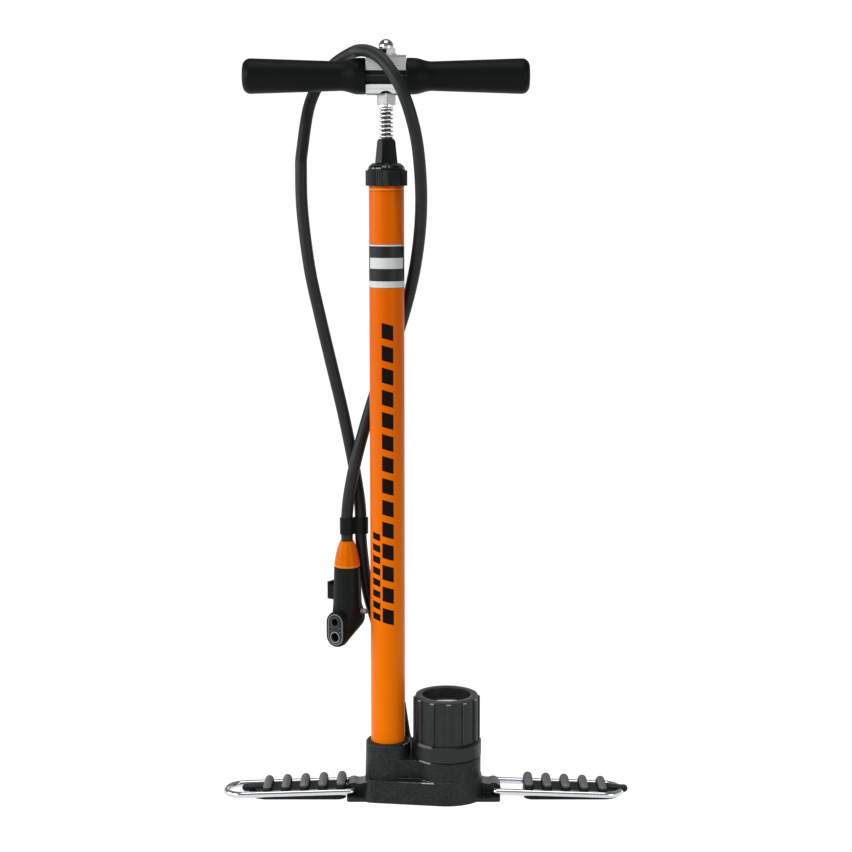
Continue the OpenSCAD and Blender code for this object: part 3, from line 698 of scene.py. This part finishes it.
# %% Mix the face plate's black
PLATE_CENTRE = Vector((-47.5, -5.75, 157)) * MM
PLATE_HALF, PLATE_INNER = (6.2 * MM, 7.3 * MM)
SCREW_ACROSS, SCREW_DEEP, SCREW_RING = (4.36 * MM, 2.83 * MM, 2.1 * MM)
PLATE_DARK, PLATE_PALE, BORDER_HIGHLIGHT_GREY = ((0.012, 0.0138, 0.0132), (0.022, 0.0245, 0.024), (0.19, 0.195, 0.193))


def bordered_plate():
    """Black, with a painted highlight round its oval edge and round each screw."""
    finish = Finish("bordered_plate", Specular_IOR_Level=0.2)
    across, depth, height = [axis - middle for axis, middle in zip(finish.axes(), PLATE_CENTRE)]
    along = finish.node("Math", {"operation": "ABSOLUTE"}, height) - PLATE_HALF
    past = finish.node("Math", {"operation": "MAXIMUM"}, along, 0.0)
    # A painted highlight: a pale line round the oval's edge and a ring round each screw.
    plate_rim_highlight = across * across + depth * depth + past * past > PLATE_INNER**2
    for side in (-1, 1):
        right, back = across - side * SCREW_ACROSS, depth + side * SCREW_DEEP
        plate_rim_highlight = plate_rim_highlight + (right * right + back * back + height * height < SCREW_RING**2)
    tone = finish.mix(finish.noise(60, 3), PLATE_DARK, PLATE_PALE)
    finish.surface(Base_Color=finish.mix(plate_rim_highlight, tone, BORDER_HIGHLIGHT_GREY), Roughness=0.42)
    return finish.bump(finish.noise(1400, 2), depth=0.2 * MM, strength=0.3)


plate_black = bordered_plate()
print(plate_black.material.name)

# %% [markdown]
# ### Orange
# The barrel is sprayed steel, which shows orange peel. Painted shade deepens its colour towards the cap. On
# the rolled bead a painted highlight lies along the crest, with painted shade on both sides. The valve
# head's collar is plastic moulded in the same orange, with a painted highlight along its lip. Both have a
# yellow shine, so that their highlights stay warm.

# %% Mix the oranges
YELLOW_SHINE = (1.0, 0.85, 0.05)
SHADE_FROM, SHADE_TO = (0.12, 0.42)
LIT_ORANGE = ((0.84, 0.157, 0.001), (0.88, 0.172, 0.002))
SHADED_ORANGE = ((0.64, 0.092, 0.001), (0.68, 0.101, 0.002))
BEAD, BEAD_HALF, BEAD_ABOVE, BEAD_BELOW = (555.5 * MM, 0.9 * MM, 2.9 * MM, 1.9 * MM)
BEAD_SHADE_ORANGE, BEAD_HIGHLIGHT_ORANGE = ((0.42, 0.05, 0.0005), (0.85, 0.2, 0.02))
COLLAR_ORANGE, LIP_HIGHLIGHT_ORANGE = (((0.62, 0.122, 0.002), (0.68, 0.138, 0.003)), (0.8, 0.2, 0.02))
LIP_HIGH = 2.2 * MM


def orange_paint():
    """Paint deepened by painted shade towards the cap, with a painted highlight on the bead between painted
    shade.
    """
    finish = Finish("orange_paint", Specular_IOR_Level=0.3, Specular_Tint=YELLOW_SHINE)
    height = finish.height()
    drift = finish.noise(12, 2)
    low, high = [finish.mix(drift, *pair) for pair in (LIT_ORANGE, SHADED_ORANGE)]
    # Painted shade: darker orange towards the cap.
    tone = finish.mix(finish.between(height, SHADE_FROM, SHADE_TO), low, high)
    # Painted shade on both sides of the bead, and a painted highlight along its crest.
    tone = finish.mix(within(height, BEAD - BEAD_BELOW, BEAD + BEAD_ABOVE), tone, BEAD_SHADE_ORANGE)
    tone = finish.mix(within(height, BEAD - BEAD_HALF, BEAD + BEAD_HALF), tone, BEAD_HIGHLIGHT_ORANGE)
    finish.surface(Base_Color=tone, Roughness=finish.between(drift, 0.3, 0.7, 0.36, 0.44))
    return finish.bump(finish.noise(420, 1), depth=0.2 * MM, strength=0.12)


def orange_moulding():
    """Plastic with a painted highlight along its lower lip."""
    finish = Finish("orange_moulding", Specular_IOR_Level=0.1, Specular_Tint=YELLOW_SHINE)
    cloud = finish.noise(80, 2)
    # A painted highlight along the lower lip.
    lit_lip = finish.height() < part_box("head_collar")[0][2] + LIP_HIGH
    tone = finish.mix(lit_lip, finish.mix(cloud, *COLLAR_ORANGE), LIP_HIGHLIGHT_ORANGE)
    finish.surface(Base_Color=tone, Roughness=finish.between(cloud, 0.3, 0.7, 0.36, 0.46))
    return finish.bump(finish.noise(1200, 2), depth=0.2 * MM, strength=0.25, edge=0.6 * MM)


paint = orange_paint()
orange_plastic = orange_moulding()
print("oranges ready")

# %% [markdown]
# ### Metal
# The nuts, the spring, the saddles and the wire feet are plated steel or zinc. Drawing a wire leaves fine
# marks along it, so their noise is stretched that way. Painted shade darkens the inside of the spring and
# the gaps under the clamp, and one facet and one bevel are duller with painted shade. Masks put these in
# place, as they do the wear and painted highlights on the black pieces.

# %% Mix the metals
SPRING_INSIDE = 5.35 * MM
NUT_CORNER, NUT_GAP = (1.6 * MM, (638.7 * MM, 641 * MM))
SADDLE_BEVEL, SADDLE_FACE, SADDLE_GAP = (2.1 * MM, 11.5 * MM, (637.5 * MM, 641.3 * MM))
PAINTED_SHADE_LEVEL, SHADED_FACET_GREY, SHADED_BEVEL_GREY = (0.012, 0.37, 0.14)
ALONG_X, ALONG_Z = ((0.05, 1, 1), (1, 1, 0.05))
BRUSHED = (0.1, 1, 1)


def near_axis(radius):
    """What lies inside a radius round the rod."""
    def mask(finish):
        across, depth, _ = finish.axes()
        return across * across + depth * depth < radius**2
    return mask


def behind_face(deep, heights):
    """What lies behind a front face, between two heights."""
    return lambda finish: within(finish.axes()[1], -deep, deep) * within(finish.height(), *heights)


def between_heights(heights):
    return lambda finish: within(finish.height(), *heights)


def above(low):
    return lambda finish: finish.height() > low


def left_of(across):
    return lambda finish: finish.axes()[0] < across


def plated_steel(name, rough, tint, stretch=(1, 1, 1), metallic=1.0, haze=0.12, painted_shades=()):
    """Plated metal with faint drawing marks, and painted shade in darker greys where masks say so."""
    finish = Finish(name, Metallic=metallic)
    marks = finish.noise(500, 3, stretch)
    tone = finish.mix(finish.noise(90, 3), shaded(tint, 1 - haze), tint)
    for mask, level in painted_shades:
        tone = finish.mix(mask(finish), tone, grey(level))
    finish.surface(Base_Color=tone, Roughness=finish.between(marks, 0.3, 0.7, rough * 0.7, rough * 1.3))
    return finish.bump(marks, depth=0.1 * MM, strength=0.12)


chrome = plated_steel("bright_plating", 0.12, (0.84, 0.85, 0.86))
wire_chrome = plated_steel("bright_wire", 0.12, (0.66, 0.67, 0.68), ALONG_X)
# Painted shade inside the spring.
spring_steel = plated_steel("spring_steel", 0.25, (0.78, 0.79, 0.8), painted_shades=(
    (near_axis(SPRING_INSIDE), PAINTED_SHADE_LEVEL),))
# Painted shade on the nut's left facet, and a painted shadow in the gap at its top.
nut_plating = plated_steel("nut_plating", 0.4, (0.58, 0.58, 0.58), metallic=0.25, haze=0.1, painted_shades=(
    (left_of(NUT_CORNER), SHADED_FACET_GREY), (between_heights(NUT_GAP), PAINTED_SHADE_LEVEL)))
dome_plating = plated_steel("dome_plating", 0.08, (0.7, 0.71, 0.71), haze=0.7)
rim_steel = plated_steel("rim_steel", 0.35, (0.3, 0.31, 0.31))
pin_steel = plated_steel("pin_steel", 0.4, (0.26, 0.27, 0.27), metallic=0.2)
screw_steel = plated_steel("screw_steel", 0.35, (0.02, 0.02, 0.0205))
# Painted shade on the upper saddle's top bevel.
zinc = plated_steel("clamp_metal", 0.36, (0.52, 0.535, 0.53), BRUSHED, metallic=0.7, haze=0.04, painted_shades=(
    (above(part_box("upper_saddle")[1][2] - SADDLE_BEVEL), SHADED_BEVEL_GREY),))
# A painted shadow in the notch behind the lower saddle's front face.
bright_zinc = plated_steel("bright_clamp_metal", 0.36, (0.79, 0.8, 0.8), BRUSHED, metallic=0.2, haze=0.04,
                           painted_shades=((behind_face(SADDLE_FACE, SADDLE_GAP), PAINTED_SHADE_LEVEL),))
# The rod is tinted near black to stand for the shade between the spring's coils.
shade_dark_rod = plated_steel("rod_in_painted_shade", 0.3, (0.03, 0.03, 0.03), ALONG_Z)
dark_steel = plated_steel("blackened_steel", 0.35, (0.06, 0.06, 0.062))
print("metals ready")

# %% [markdown]
# ### Small finishes
# Brass, leather, white paint and inks cover small pieces, so one plain recipe with a little cloudiness does
# for all of them. The edge of the dial glows faintly, as painted light in the shade inside the boot. The
# lens is almost clear, with a thin haze.

# %% Mix the small finishes
DIAL_WHITE = (0.96, 0.96, 0.95)


def plain_material(name, tint, rough, metallic=0.0, shine=0.2, glow=0.0):
    finish = Finish(name, Metallic=metallic, Specular_IOR_Level=shine, Emission_Color=tint,
                    Emission_Strength=glow)
    cloud = finish.noise(300, 3)
    tone = finish.mix(cloud, shaded(tint, 0.85), tint)
    finish.surface(Base_Color=tone, Roughness=finish.between(cloud, 0.3, 0.7, rough - 0.05, rough + 0.08))
    return finish.bump(cloud, depth=0.2 * MM, strength=0.2)


brass = plain_material("turned_brass", (0.62, 0.42, 0.14), 0.3, metallic=1.0)
leather = plain_material("greased_leather", (0.2, 0.1, 0.045), 0.6)
dial_white = plain_material("dial_white", DIAL_WHITE, 0.5)
# A faint glow for the dial's edge: painted light.
glowing_white = plain_material("glowing_white", DIAL_WHITE, 0.5, glow=0.4)
needle_red = plain_material("needle_red", (0.62, 0.05, 0.02), 0.45)
label_ink = plain_material("label_dark", (0.006, 0.009, 0.008), 0.4)
strip_ink = plain_material("label_white", (0.64, 0.65, 0.64), 0.45)
bar_ink = plain_material("bar_black", (0.008, 0.004, 0.003), 0.5, shine=0.05)
lens_clear = Finish("clear_lens", Base_Color=(0.95, 0.97, 0.98), Alpha=0.04)
lens_clear.surface(Roughness=lens_clear.between(lens_clear.noise(60, 2), 0.4, 0.8, 0.02, 0.07))
print("small finishes ready")

# %% [markdown]
# ## Dressing the solids
# One table says which solids get which finish. It reads like a bill of materials, and its sum shows that
# none is left out. The hose and the spring, which take the place of two solids, get theirs here too.

# %% Give every solid its finish
FINISH_OF = {
    casting: ("base_casting",),
    plastic: ("hose_clip", "head_body", "gauge_body", "rod_bush"),
    core_plastic: ("handle_core",),
    glossy_plastic: ("top_cap", "neck_ring"),
    grip_plastic: ("left_grip", "right_grip"),
    rubber: ("hose_sleeve", "barrel_gasket", "valve_flap", "wide_grommet", "narrow_grommet"),
    boot_rubber: ("gauge_boot", "gauge_ring"),
    tread_rubber: ("left_tread", "right_tread"),
    paint: ("barrel",),
    orange_plastic: ("head_collar",),
    spring_steel: ("buffer_spring",),
    chrome: ("spring_washer", "piston_nut", "piston_washer", "piston_backing"),
    nut_plating: ("lock_nut", "top_washer"),
    dome_plating: ("dome_nut",),
    pin_steel: ("head_pin",),
    rim_steel: ("wide_rim",),
    shade_dark_rod: ("piston_rod",),
    dark_steel: ("narrow_rim",),
    screw_steel: ("head_screws",),
    wire_chrome: ("left_foot_wire", "right_foot_wire"),
    zinc: ("upper_saddle",),
    bright_zinc: ("lower_saddle",),
    brass: ("valve_seat", "gauge_stem", "hose_barb"),
    leather: ("piston_cup",),
    dial_white: ("gauge_dial",),
    needle_red: ("gauge_needle",),
    plate_black: ("head_face",),
    lens_clear: ("gauge_lens",),
}
for finish, names in FINISH_OF.items():
    for name in names:
        solids[name].data.materials.clear()
        solids[name].data.materials.append(finish.material)
hose.data.materials.append(hose_rubber.material)
spring.data.materials.append(spring_steel.material)
print(sum(len(names) for names in FINISH_OF.values()), "of", len(solids), "solids have a finish")

# %% [markdown]
# ## Films on the barrel
# A label and printed bars are films a few hundredths of a millimetre thick that follow the barrel. An
# upright edge spun round the barrel's axis makes a bent patch; a spin that also climbs makes a slanted one.

# %% Make a film that follows the barrel
BARREL_RADIUS = 15.7 * MM
FILM = 0.05 * MM
FILM_STEP = math.radians(4)


def wrapped_patch(shape, low, high, start, turn, lift, climb=0.0):
    """Spins an upright edge round the barrel, from an angle off the front; degrees and millimetres."""
    begin, around = (math.radians(start), math.radians(turn))
    steps = max(3, round(abs(around) / FILM_STEP))
    spot = Matrix.Rotation(begin, 3, "Z") @ Vector((0, -BARREL_RADIUS - lift * MM, 0))
    ends = [shape.verts.new(spot + Vector((0, 0, z * MM))) for z in (low, high)]
    bmesh.ops.spin(shape, geom=[*ends, shape.edges.new(ends)], cent=(0, 0, 0), axis=(0, 0, 1), angle=around,
                   steps=steps, dvec=(0, 0, climb * MM / steps), use_merge=False)


def film_shape(patches):
    def fill(shape):
        for patch in patches:
            wrapped_patch(shape, *patch)
        bmesh.ops.recalc_face_normals(shape, faces=shape.faces)
        inward = [face for face in shape.faces if face.normal.xy.dot(face.calc_center_median().xy) < 0]
        bmesh.ops.reverse_faces(shape, faces=inward)
        bmesh.ops.solidify(shape, geom=shape.faces[:], thickness=FILM)
    return fill


print("films can be wrapped")

# %% [markdown]
# The label is a dark panel with three white strips laid over it. The bars are two columns of ink, a wide
# one in front and a narrow one to the left of it, and one rule of equal steps places both.

# %% Wrap the label and the bars
LABEL_LOW, LABEL_HIGH, LABEL_TURN = (469, 507.4, 196)
MIDDLE_TURN = 136
INK_LIFT, STRIP_LIFT = (0.06, 0.13)


def label_strip(low, high, turn=LABEL_TURN):
    return (low, high, -turn / 2, turn, STRIP_LIFT)


def bar_column(count, low, pitch, high, start, turn, climb):
    """Slanted bars on equal steps up the barrel."""
    return [(low + i * pitch, low + i * pitch + high, start, turn, INK_LIFT, climb) for i in range(count)]


FILMS = {
    "label_panel": [(LABEL_LOW, LABEL_HIGH, -LABEL_TURN / 2, LABEL_TURN, INK_LIFT)],
    "label_strips": [label_strip(LABEL_LOW + 0.3, LABEL_LOW + 6),
                     label_strip(LABEL_HIGH - 1.6, LABEL_HIGH - 0.2),
                     label_strip(LABEL_LOW + 17, LABEL_LOW + 26.6, MIDDLE_TURN)],
    "black_bars": bar_column(14, low=166.3, pitch=19.9, high=13.5, start=-16, turn=38, climb=-3)
                  + bar_column(8, low=169, pitch=10.56, high=6.2, start=-55, turn=31, climb=-2),
}
films = {name: new_piece(name, film_shape(patches)) for name, patches in FILMS.items()}
for name, film in films.items():
    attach(film, "base")
    print(name, len(film.data.polygons), "faces")

# %% [markdown]
# The panel and the bars take black inks and the strips a white one.

# %% Print the films
for name, ink, slot in (("label_panel", label_ink, "black_plastic"),
                        ("label_strips", strip_ink, "dial_white"),
                        ("black_bars", bar_ink, "black_plastic")):
    films[name].data.materials.append(ink.material)
print("films printed")

# %% [markdown]
# ## Gauge boot
# A rubber boot guards the gauge: a plain wall, twelve raised ribs for the fingers and a flat rim round the
# window. Its outline is spun round the gauge's axis, which leaves three narrow faces at the place of each
# rib. Lifting such a patch by an inset gives a rib with the slanted sides that let rubber leave its mould,
# and a bevel rounds them. The white plate inside turns up at its edge; that ring, of white paint that glows
# faintly as painted light, is spun in the same way.

# %% Spin the boot and raise its ribs
BOOT_OUTLINE = ((27.2, 53.1), (28.9, 53.1), (28.8, 53.8), (28.7, 93.3), (28.7, 94.8), (22.4, 94.8),
                (22.4, 84.6), (27.2, 84.6))
DIAL_EDGE_OUTLINE = ((24.4, 80.05), (26.9, 80.05), (26.9, 81.15))
SPIN_STEP = math.radians(3)
BOOT_STEPS = round(math.tau / SPIN_STEP)
RIB_COUNT, RIB_WIDE, FIRST_RIB = (12, 3 * SPIN_STEP, math.radians(-87))
BOOT_BEGIN = FIRST_RIB - RIB_WIDE / 2
RIB_TALL, RIM_TOP, SAME_RADIUS = (30 * MM, 94.7 * MM, 0.01 * MM)
RIB_DRAFT, RIB_LIFT, RIB_ROUND, RIM_ROUND = (0.5 * MM, 2.1 * MM, 0.45 * MM, 0.6 * MM)


def spun_ring(shape, outline, steps, begin=0.0):
    """A closed outline of radius and height in millimetres, spun round the upright axis from an angle."""
    turned = Matrix.Rotation(begin, 3, "Z")
    spots = [shape.verts.new(turned @ Vector((radius * MM, 0, height * MM))) for radius, height in outline]
    edges = [shape.edges.new(pair) for pair in zip(spots, spots[1:] + spots[:1])]
    bmesh.ops.spin(shape, geom=[*spots, *edges], cent=(0, 0, 0), axis=(0, 0, 1), angle=math.tau, steps=steps,
                   use_merge=True)
    bmesh.ops.recalc_face_normals(shape, faces=shape.faces)


def on_a_rib(face):
    """True for the outer faces that a rib rises from."""
    middle = face.calc_center_median()
    past = (math.atan2(middle.y, middle.x) - BOOT_BEGIN) % (math.tau / RIB_COUNT)
    heights = [vert.co.z for vert in face.verts]
    outer = face.normal.xy.dot(middle.xy) > 0
    return outer and past < RIB_WIDE and max(heights) - min(heights) > RIB_TALL


def on_the_rim(edge):
    """True for the level rings round the top."""
    one, other = edge.verts
    return min(one.co.z, other.co.z) > RIM_TOP and abs(one.co.xy.length - other.co.xy.length) < SAME_RADIUS


def boot_shape(shape):
    spun_ring(shape, BOOT_OUTLINE, BOOT_STEPS, BOOT_BEGIN)
    ribs = [face for face in shape.faces if on_a_rib(face)]
    bmesh.ops.inset_region(shape, faces=ribs, thickness=RIB_DRAFT, depth=RIB_LIFT, use_boundary=True,
                           use_even_offset=True)
    crests = [edge for face in ribs for edge in face.edges
              if sum(near in ribs for near in edge.link_faces) == 1]
    rims = [edge for edge in shape.edges if on_the_rim(edge)]
    for edges, size in ((crests, RIB_ROUND), (rims, RIM_ROUND)):
        bmesh.ops.bevel(shape, geom=edges, offset=size, affect="EDGES", segments=3, profile=0.5, material=-1)
    bmesh.ops.translate(shape, vec=GAUGE_CENTRE, verts=shape.verts)


def dial_edge_shape(shape):
    spun_ring(shape, DIAL_EDGE_OUTLINE, BOOT_STEPS, BOOT_BEGIN)
    bmesh.ops.translate(shape, vec=GAUGE_CENTRE, verts=shape.verts)


boot = new_piece("ribbed_boot", boot_shape)
boot.data.materials.append(boot_rubber.material)
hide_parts("gauge_boot")
dial_edge = new_piece("dial_edge", dial_edge_shape)
# The dial's edge glows faintly: painted light.
dial_edge.data.materials.append(glowing_white.material)
print(RIB_COUNT, "ribs raised")

# %% [markdown]
# The faces of a spun shape are flat. Smooth shading makes its round walls look round, and edges that turn
# by more than a set angle stay sharp, as the sides of the ribs do.

# %% Smooth the boot and the dial's edge
SHARP_EDGE = math.radians(50)
for piece, slot in ((boot, "black_rubber"), (dial_edge, "dial_white")):
    shade_smooth(piece.data)
    piece.data.set_sharp_from_angle(angle=SHARP_EDGE)
    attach(piece, "base")
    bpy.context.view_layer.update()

# %% [markdown]
# ## Knurled band
# The cap is turned by hand, so its band has fine upright ridges. A square ring is spun in twice as many
# steps as there are ridges, and every second corner is pulled in. The band lies over the solid cap's own,
# coarser ridges.

# %% Spin the band and pull in its valleys
BAND_INNER, BAND_VALLEY, BAND_RIDGE = (17.5, 18.03, 18.5)
BAND_LOW, BAND_HIGH = (558.7, 572.2)
BAND_OUTLINE = ((BAND_INNER, BAND_LOW), (BAND_RIDGE, BAND_LOW), (BAND_RIDGE, BAND_HIGH),
                (BAND_INNER, BAND_HIGH))
RIDGE_COUNT = 56
RIDGE_STEP = math.pi / RIDGE_COUNT


def band_shape(shape):
    spun_ring(shape, BAND_OUTLINE, 2 * RIDGE_COUNT)
    outer = [vert for vert in shape.verts if vert.co.xy.length > BAND_VALLEY * MM]
    valleys = [vert for vert in outer if round(math.atan2(vert.co.y, vert.co.x) / RIDGE_STEP) % 2]
    bmesh.ops.scale(shape, vec=(BAND_VALLEY / BAND_RIDGE, BAND_VALLEY / BAND_RIDGE, 1), verts=valleys)


band = new_piece("knurled_band", band_shape)
band.data.materials.append(knurl_plastic.material)
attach(band, "base")
print("band", RIDGE_COUNT, "ridges")

# %% [markdown]
# ## Dial
# The gauge reads from 0 at the lower left to 16 at the lower right. The marks are printed on the white
# plate: one thin tick is copied round the dial by a spin, and each number is a text turned into a mesh.

# %% Make a tick and a number
DIAL_START, DIAL_SWEEP = (math.radians(225), math.radians(-270))
DIAL_TOP = 16


def add_ticks(shape, count, near, far, width):
    """Ticks on equal steps of the scale, from one radius to another."""
    flat = bmesh.ops.create_grid(shape, x_segments=1, y_segments=1, size=0.5)["verts"]
    bmesh.ops.scale(shape, vec=((far - near) * MM, width * MM, 1), verts=flat)
    bmesh.ops.translate(shape, vec=((near + far) / 2 * MM, 0, 0), verts=flat)
    bmesh.ops.rotate(shape, cent=(0, 0, 0), matrix=Matrix.Rotation(DIAL_START, 3, "Z"), verts=flat)
    tick = list(flat[0].link_faces)
    bmesh.ops.spin(shape, geom=tick, cent=(0, 0, 0), axis=(0, 0, 1), angle=DIAL_SWEEP, steps=count,
                   use_duplicate=True)


def add_number(shape, value, radius, high):
    """One upright number at its place on the scale."""
    words = bpy.data.curves.new("number", "FONT")
    words.body = str(value)
    words.size = high * MM
    words.align_x, words.align_y = ("CENTER", "CENTER")
    holder = bpy.data.objects.new("number", words)
    studio.link(holder)
    mesh = bpy.data.meshes.new_from_object(holder.evaluated_get(bpy.context.evaluated_depsgraph_get()))
    bpy.data.objects.remove(holder)
    angle = DIAL_START + DIAL_SWEEP * value / DIAL_TOP
    mesh.transform(Matrix.Translation((radius * MM * math.cos(angle), radius * MM * math.sin(angle), 0)))
    shape.from_mesh(mesh)


print("scale from 0 to", DIAL_TOP)

# %% [markdown]
# Short thin ticks mark every half of the scale's unit, and longer ones stand at the numbers. Ink has next
# to no thickness, so the marks lie a hair over the plate.

# %% Print the dial
PLATE_TOP, INK_HEIGHT = (80 * MM, 0.08 * MM)
NUMBER_STEP, NUMBER_RADIUS, NUMBER_HIGH = (2, 14.4, 4)


def dial_shape(shape):
    add_ticks(shape, 32, near=19.6, far=21.6, width=0.3)
    add_ticks(shape, 8, near=17.8, far=21.6, width=0.7)
    for value in range(0, DIAL_TOP + 1, NUMBER_STEP):
        add_number(shape, value, NUMBER_RADIUS, NUMBER_HIGH)
    bmesh.ops.recalc_face_normals(shape, faces=shape.faces)
    bmesh.ops.reverse_faces(shape, faces=[face for face in shape.faces if face.normal.z < 0])
    bmesh.ops.translate(shape, vec=GAUGE_CENTRE + Vector((0, 0, PLATE_TOP + INK_HEIGHT)), verts=shape.verts)


dial_marks = new_piece("dial_marks", dial_shape)
dial_marks.data.materials.append(bar_ink.material)
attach(dial_marks, "base")
print("dial", len(dial_marks.data.polygons), "faces")
